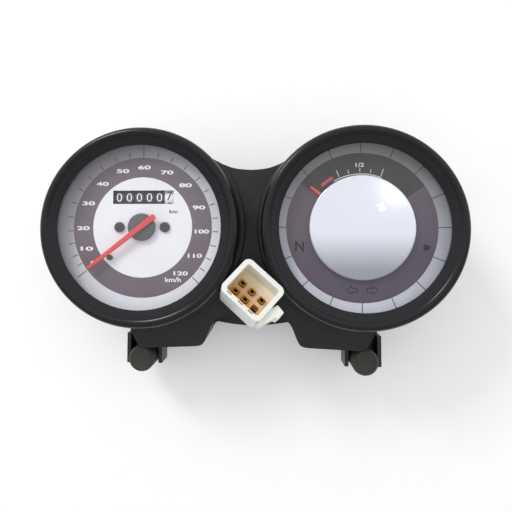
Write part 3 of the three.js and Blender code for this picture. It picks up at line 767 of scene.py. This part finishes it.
DIAL_PROFILE = [(0, DIAL_TOP - 0.8), (43, DIAL_TOP - 0.8), (43, DIAL_TOP), (0, DIAL_TOP)]
SPEED_ANGLES = {
    0: -127.8, 5: -120.8, 10: -113, 15: -103, 20: -93, 25: -82, 30: -70.6, 35: -59.2, 40: -47.4, 45: -35, 50: -22.2,
    55: -10.8, 60: 0.4, 65: 12, 70: 23.4, 75: 35.8, 80: 49, 85: 60.6, 90: 72, 95: 82.8, 100: 93.4, 105: 104.4,
    110: 115.2, 115: 124.6, 120: 134.2,
}  # fmt: skip
NUMERAL_ANGLES = {
    10: -111, 20: -91, 30: -66.5, 40: -43.5, 50: -20, 60: 1.2, 70: 24, 80: 45.8, 90: 70.9, 100: 94, 110: 118,
    120: 139.4,
}  # fmt: skip
WINDOW = (0.3, 14.7, 30.2, 6.6)


def speed_face():
    base = turned("speed_dial_face", DIAL_PROFILE, SILVER_PRINT_PAINTED_SHADE, LEFT, 160)
    x, y, width, height = WINDOW
    carve(base, slab("drill", rounded_rectangle(width, height, 0.25, 3, x, y), 40, 60, CASE, LEFT))
    carve(base, drill(1.5, 40, 60, place=LEFT, segments=32))
    return fit(base, "case", "speed_dial", "speedometer_dial")


def disc_print(name, r0, r1, z, material, place, *cutters):
    """A printed ring or disc as a thin plate, so that a window can be cut in it."""
    profile = [(r0, z), (r1, z), (r1, z + 0.04), (r0, z + 0.04)]
    piece = turned(name, profile, material, place, 160)
    return carve(piece, *cutters) if cutters else piece


def speed_prints():
    x, y, width, height = WINDOW
    window = slab("drill", rounded_rectangle(width, height, 0.25, 3, x, y), 40, 60, CASE, LEFT)
    middle_print = disc_print("speed_dial_centre", 0, 24.5, DIAL_TOP, WHITE_PRINT, LEFT, window)
    ring = disc_print("speed_dial_ring", 24.5, 34.2, DIAL_TOP, SMOKE_PRINT, LEFT)
    numbers = []
    for speed, angle in NUMERAL_ANGLES.items():
        numbers.append(moved(figures(str(speed), 6.3 if speed < 100 else 7, 2, 0.03), *polar(29.4, angle)))
    numbers.append(moved(figures("0", 2.9, 2, 0.03), *polar(29.7, -126)))
    numbers.append(moved(figures("km/h", 7.8, 2.3, 0.02), 15.4, -25.4))
    white = printed("speed_figures", numbers, DIAL_TOP + 0.07, FIGURE_WHITE, LEFT)
    bars = []
    for speed, angle in SPEED_ANGLES.items():
        bars.append(radial_bar(angle, 34.6, 39.9 if speed in (0, 60, 120) else 37.3, 0.42))
    ticks = printed("speed_ticks", bars, DIAL_TOP + 0.04, TICK_GREY, LEFT)
    unit_mark = moved(figures("km", 4.1, 1.8, 0.02), 15.3, 7.7)
    unit = printed("odometer_unit", [unit_mark], DIAL_TOP + 0.07, FIGURE_BLACK, LEFT)
    for piece in (middle_print, ring, white, ticks, unit):
        fit(piece, "case", "speed_dial")


def cross_headed(name, profile, material, place, top, size, node, slot):
    """A screw or stud turned from its profile, with a cross recess in its top."""
    screw = turned(name, profile, material, place, 48, 0.15)
    bars = [(size, size * 0.28), (size * 0.28, size)]
    for half_x, half_y in bars:
        carve(screw, box_piece("drill", -half_x, half_x, -half_y, half_y, top - size * 0.6, top + 1, material, place))
    return fit(screw, "case", slot, node)


def speed_screws_and_pin():
    for i, x in enumerate((-11.2, 11.2)):
        place = LEFT @ Matrix.Translation((x, 0, 0))
        under_head = DIAL_TOP + 0.1
        profile = [
            (0, 46.4), (1.4, 46.4), (1.4, under_head), (2.5, under_head), (2.5, 52.9), (2, 53.5), (0, 53.6),
        ]  # fmt: skip
        turned_place = place @ Matrix.Rotation(math.radians(28 + 20 * i), 4, "Z")
        cross_headed(
            f"dial_screw_head_{i + 1}", profile, SCREW_BLACK, turned_place, 53.6, 1.4, f"dial_screw_{i + 1}",
            "dark_screw",
        )  # fmt: skip
    pin = [(0, 50), (0.8, 50), (0.8, 52), (1.35, 52.1), (1.35, 54.2), (0.7, 54.3), (0.7, 56.1), (0, 56.1)]
    place = LEFT @ Matrix.Translation((-15.6, -14.8, 0))
    fit(turned("stop_pin", pin, SCREW_BLACK, place, 32, 0.12), "case", "hub_grey", "needle_stop_pin")


def needle_piece(name, tail, tip, tail_width, tip_width, z0, z1, angle, place):
    """A long needle with a round tail and a crowned top."""
    outline = [(-tail_width / 2, -tail + 1.6), (-tip_width / 2, tip - 1.2), (0, tip), (tip_width / 2, tip - 1.2)]
    outline.append((tail_width / 2, -tail + 1.6))
    outline += [(tail_width / 2 * math.cos(a), -tail + 1.6 - 1.6 * math.sin(a)) for a in (0.5, 1.0, 1.57, 2.14, 2.64)]
    turn = place @ Matrix.Rotation(math.radians(-angle), 4, "Z")
    return slab(name, outline, z0, z1, NEEDLE, turn, 0.45)


def make_speedometer():
    speed_face()
    speed_prints()
    speed_screws_and_pin()
    needle = needle_piece("speed_needle_bar", 9, 33.5, 3.1, 1.7, 54.8, 56.2, -128, LEFT)
    fit(needle, "speed_pointer", "needle_red", "speed_needle")
    hub_profile = [(0, 52.6), (6.2, 52.6), (6.7, 52.9), (6.7, 54.1), (6.3, 54.5), (0, 54.5)]
    hub = turned("speed_hub", hub_profile, HUB, LEFT, 96, 0.25)
    fit(hub, "speed_pointer", "hub_grey", "needle_hub")


make_speedometer()


# ---- ODOMETER ----

DRUM_R = 8.5
DRUM_Y = 14.7
DRUM_Z = middle("odometer_drum_1").z / MM


def wrapped(shape, x, angle, radius):
    """A flat figure cut into strips and laid on a drum: angle is how far past the top it has rolled."""
    points, faces = shape
    work = bmesh.new()
    made = [work.verts.new((px, py, 0)) for px, py in points]
    for face in faces:
        work.faces.new([made[i] for i in face])
    for step in range(-4, 5):
        everything = [*work.verts, *work.edges, *work.faces]
        bmesh.ops.bisect_plane(work, geom=everything, plane_co=(0, step * 0.5, 0), plane_no=(0, 1, 0))
    work.verts.index_update()
    verts = []
    for v in work.verts:
        turn = math.radians(angle) + v.co.y / radius
        verts.append((x + v.co.x, DRUM_Y + radius * math.sin(turn), DRUM_Z + radius * math.cos(turn)))
    result = verts, [tuple(v.index for v in face.verts) for face in work.faces]
    work.free()
    return result


def drum_figures(index, x, reading, material):
    verts, faces = [], []
    for digit in range(10):
        shape = figures(str(digit), 1.3 if digit == 1 else 2.7, 4.25)
        digit_verts, digit_faces = wrapped(shape, x, 36 * (reading - digit), DRUM_R + 0.06)
        first = len(verts)
        verts += digit_verts
        faces += [tuple(first + i for i in face) for face in digit_faces]
    mesh = bpy.data.meshes.new(f"drum_figures_{index}")
    mesh.from_pydata([LEFT @ Vector(v) for v in verts], [], faces)
    piece = finished(bpy.data.objects.new(f"drum_figures_{index}", mesh), material)
    return fit(piece, f"drum_{index}", "drum_white" if index < 6 else "drum_black")


def make_odometer():
    across = Matrix.Rotation(math.radians(90), 4, "Y")
    for index in range(1, 7):
        x = WINDOW[0] + (index - 3.5) * 5
        half = 2.35
        profile = [(1.5, -half), (DRUM_R, -half), (DRUM_R, half), (1.5, half)]
        place = LEFT @ Matrix.Translation((x, DRUM_Y, DRUM_Z)) @ across
        last = index == 6
        drum = turned(f"drum_{index}_body", profile, DRUM_WHITE if last else DRUM_BLACK, place, 96, 0.12)
        if last:
            dress("odometer_drum_6", DRUM_WHITE)
            fit(drum, "drum_6", "drum_white")
        else:
            fit(drum, f"drum_{index}", "drum_black", f"odometer_drum_{index}")
        drum_figures(index, x, 7.14 if last else 0, FIGURE_BLACK if last else FIGURE_WHITE)


make_odometer()


# ---- FUEL AND TELL-TALE DIAL ----


def arrow(x, y, sign):
    """The outline of a turn arrow."""
    tip, neck, back = 2.7 * sign, 0.2 * sign, -2.4 * sign
    line = [(tip, 0), (neck, 2), (neck, 0.9), (back, 0.9), (back, -0.9), (neck, -0.9), (neck, -2), (tip, 0)]
    return moved_strokes([line], 0.4, x, y)


def moved_strokes(lines, width, x, y):
    points, faces = strokes(lines, width)
    return [(p[0] + x, p[1] + y) for p in points], faces


def beam_mark(x, y):
    lamp = [(-1.6, -1.7), (-1.6, 1.7), (0, 1.4), (1.3, 0.6), (1.8, 0), (1.3, -0.6), (0, -1.4)]
    return moved((lamp, [tuple(range(len(lamp)))]), x, y)


def pump_mark(x, y):
    body = [(-1.1, -1.8), (-1.1, 1.8), (0.6, 1.8), (0.6, -1.8), (-1.1, -1.8)]
    hose = [(0.6, 0.6), (1.5, 0.2), (1.5, -1.4)]
    return moved_strokes([body, hose], 0.3, x, y)


def fuel_face():
    base = turned("fuel_dial_face", DIAL_PROFILE, RIGHT_SILVER_PAINTED_SHADE, RIGHT, 160)
    carve(base, drill(1.5, 40, 60, place=RIGHT, segments=32))
    fit(base, "case", "fuel_dial", "fuel_dial")
    ring = disc_print("fuel_dial_ring", 6, 35.7, DIAL_TOP, RIGHT_SMOKE_PAINTED_SHADE, RIGHT)
    window = printed("fuel_scale_window", [band(18, 35.65, -54, 57)], DIAL_TOP + 0.06, SCALE_WINDOW, RIGHT)
    bars = [radial_bar(22.5 * i, 35.7, 42, 0.42) for i in range(16)]
    ticks = printed("tell_tale_ticks", bars, DIAL_TOP + 0.05, FIGURE_BLACK, RIGHT)
    # Painted highlight: thin lighter strips along the two radial edges of the scale window stand in for the light
    # caught by its edge.
    edge = [radial_bar(-54, 25, 35.6, 0.18), radial_bar(57, 25, 35.6, 0.18)]
    edges = printed("fuel_window_edge_highlights", edge, DIAL_TOP + 0.08, SMOKE_PRINT, RIGHT)
    for piece in (ring, window, ticks, edges):
        fit(piece, "case", "fuel_dial")


def fuel_scale():
    z = DIAL_TOP + 0.1
    marks = [band(25.45, 25.8, -30, 22)]
    for angle, end in ((-23, 29.8), (-12.6, 28.2), (-1, 28.8), (9.7, 28.2), (20.8, 29.8)):
        marks.append(radial_bar(angle, 26.4, end, 0.24))
    marks.append(moved(figures("1/2", 4, 1.9, 0.01), *polar(30, -1)))
    white = printed("fuel_scale_marks", marks, z, FIGURE_WHITE, RIGHT)
    red = printed("fuel_reserve", [band(26.6, 28.1, -43, -29.5)], z, RED_PRINT, RIGHT)
    signs = [
        moved(figures("N", 4.2, 4.9, 0.02), *polar(30.7, -107)),
        beam_mark(*polar(31.6, 107.4)),
        arrow(-4.6, -29.6, -1),
        arrow(4.6, -29.6, 1),
    ]
    dark = printed("tell_tale_signs", signs, z, UNLIT, RIGHT)
    pump = printed("fuel_pump_sign", [pump_mark(*polar(28.6, 49))], z, UNLIT, RIGHT)
    for piece in (white, red, dark, pump):
        fit(piece, "case", "fuel_dial")


def make_fuel_gauge():
    fuel_face()
    fuel_scale()
    needle = needle_piece("fuel_needle_bar", 7, 31.6, 2.4, 1.5, 52.3, 53.1, -51, RIGHT)
    fit(needle, "fuel_pointer", "needle_red", "fuel_needle")
    disc_profile = [(0, 53.6), (24.7, 53.6), (25, 54), (24.8, 54.55), (24.2, 54.7), (0, 54.7)]
    disc = turned("silver_disc", disc_profile, DISC_PAINTED_REFLECTION, RIGHT, 160, 0.2)
    fit(disc, "case", "centre_disc", "centre_disc")
    for i, angle in enumerate((180, 120, -120)):
        place = RIGHT @ Matrix.Translation((*polar(17, angle), 0))
        foot = turned(f"disc_foot_{i + 1}", [(0, DIAL_TOP), (1.5, DIAL_TOP), (1.5, 53.7), (0, 53.7)], HUB, place, 32)
        fit(foot, "case", "centre_disc")


make_fuel_gauge()


# ---- LEGS, DAMPERS, STUDS AND SCREWS ----

LEG_X = 58.6
DAMPER_Y = -69.2
LEG_SCREW = (56.6, -54.5)
COVER_SCREWS = [(-8.6, 24.4), (8.6, 24.4)]


def threaded(radius, z0, z1, pitch=1.0):
    """The side of a threaded rod, as a profile of ridges."""
    points = []
    z = z0
    while z + pitch <= z1:
        points += [(radius, z + pitch * 0.1), (radius, z + pitch * 0.35)]
        points += [(radius - 0.45, z + pitch * 0.6), (radius - 0.45, z + pitch * 0.85)]
        z += pitch
    return points


def make_legs():
    for side, sign in (("left", -1), ("right", 1)):
        place = CLUSTER @ Matrix.Translation((sign * LEG_X, DAMPER_Y, 0))
        dress(f"{side}_mount_leg", LEG, 0.6)
        damper = [
            (0, 30.5), (3.3, 30.5), (3.3, 12), (6.3, 12), (6.3, 14.1), (5, 14.1), (5, 17.9), (6.9, 17.9), (6.9, 32.6),
            (6.1, 33.7), (5.3, 34), (4.9, 33.5), (0, 33.4),
        ]  # fmt: skip
        fit(turned(f"{side}_damper_body", damper, RUBBER, place, 96, 0.3), "case", "rubber", f"{side}_damper")
        stud = [
            (0, 3), (2.5, 3), *threaded(3, 3.4, 9.5), (3, 9.6), (5.6, 9.6), (5.6, 11.7), (3, 11.7), (3, 30.2),
            (0, 30.2),
        ]  # fmt: skip
        fit(turned(f"{side}_stud_body", stud, ZINC, place, 64), "case", "zinc_steel", f"{side}_stud")
        spot = CLUSTER @ Matrix.Translation((sign * LEG_SCREW[0], LEG_SCREW[1], 0))
        screw_piece(f"{side}_leg_screw", spot, 11.8)
    for i, (x, y) in enumerate(COVER_SCREWS):
        screw_piece(f"cover_screw_{i + 1}", CLUSTER @ Matrix.Translation((x, y, 0)), 15.4)


def screw_piece(node, place, head_z):
    profile = [
        (0, head_z), (2.4, head_z), (3.3, head_z + 0.9), (3.3, head_z + 2.3), *threaded(1.6, head_z + 2.4, 31.6, 1.2),
        (0.4, 33), (0, 33),
    ]  # fmt: skip
    screw = turned(f"{node}_body", profile, ZINC, place, 48)
    for half_x, half_y in ((1.7, 0.45), (0.45, 1.7)):
        carve(screw, box_piece("drill", -half_x, half_x, -half_y, half_y, head_z - 1, head_z + 1.1, ZINC, place))
    fit(screw, "case", "zinc_steel", node)


make_legs()


# ---- PIECES BEHIND THE DIALS, WHICH KEEP THEIR CAD SHAPE ----


def dress_inner_pieces():
    for side in ("left", "right"):
        dress(f"{side}_gauge_housing", HOUSING)
    for lamp in ("speedometer", "fuel", "neutral", "beam", "turn"):
        dress(f"{lamp}_lamp_holder", RUBBER, 0.3)
        dress(f"{lamp}_lamp_bulb", BULB, 0.3)
    finishes = {
        "movement_frame": FRAME_METAL, "magnet_shaft": MAGNET, "drag_cup": ALUMINIUM, "hairspring": BRONZE,
        "cross_shaft": GEAR, "link_shaft": GEAR, "odometer_axle": ZINC, "fuel_movement": MOVEMENT,
    }  # fmt: skip
    for node, material in finishes.items():
        dress(node, material, 0.15)
    ring = [
        (3.3, 15.6), (4.4, 15.6), (6.6, 16.3), (7, 16.9), (7, PLATE_Z - GAP), (5, PLATE_Z - GAP), (5, 20.8),
        (3.3, 20.8),
    ]  # fmt: skip
    place = CLUSTER @ Matrix.Translation((GROMMET[0], GROMMET[1], 0))
    fit(turned("grommet_ring", ring, RUBBER, place, 64, 0.3), "case", "rubber", "harness_grommet")


dress_inner_pieces()


# ---- FLOOR AND LIGHT ----


FLOOR_WHITE = moulded("floor_white", srgb(250, 250, 250), 0.8, 0.01, 3, 0.02, Emission_Strength=0.12)
FLOOR_WHITE.node_tree.nodes["Principled BSDF"].inputs["Emission Color"].default_value = (1, 1, 1, 1)


def make_floor():
    size = 1500.0
    verts = [(-size, -size, 0), (size, -size, 0), (size, size, 0), (-size, size, 0)]
    floor = mesh_piece("floor", verts, [(0, 1, 2, 3)], FLOOR_WHITE)


def area_light(name, position, target, width, height, power):
    data = bpy.data.lights.new(name, "AREA")
    data.shape = "RECTANGLE"
    data.size = width
    data.size_y = height
    data.energy = power
    light = bpy.data.objects.new(name, data)
    light.location = position
    light.rotation_euler = (Vector(target) - Vector(position)).to_track_quat("-Z", "Y").to_euler()
    bpy.context.collection.objects.link(light)


def studio_world():
    """A soft dome of light, brighter on the 12 o'clock side."""
    world = bpy.data.worlds.new("studio")
    world.use_nodes = True
    tree = world.node_tree
    axes = tree.nodes.new("ShaderNodeSeparateXYZ")
    ramp = tree.nodes.new("ShaderNodeMapRange")
    ramp.interpolation_type = "SMOOTHSTEP"
    ramp.inputs["From Min"].default_value = -0.09
    ramp.inputs["From Max"].default_value = 0.0
    ramp.inputs["To Min"].default_value = 0.6
    ramp.inputs["To Max"].default_value = 1.0
    tree.links.new(tree.nodes.new("ShaderNodeTexCoord").outputs["Generated"], axes.inputs[0])
    tree.links.new(axes.outputs["Y"], ramp.inputs["Value"])
    tree.links.new(ramp.outputs["Result"], tree.nodes["Background"].inputs["Strength"])
    tree.nodes["Background"].inputs["Color"].default_value = (0.97, 0.98, 1, 1)
    bpy.context.scene.world = world


def make_light():
    studio_world()
    area_light("key", (-0.6, 0.8, 0.8), (0, 0, 0), 0.3, 0.3, 5)
    area_light("window", (0.311, 0.121, 0.96), (0.06, 0.02, 0.05), 0.035, 0.03, 0.02)
    bpy.context.scene.view_settings.view_transform = "Standard"


make_floor()
make_light()
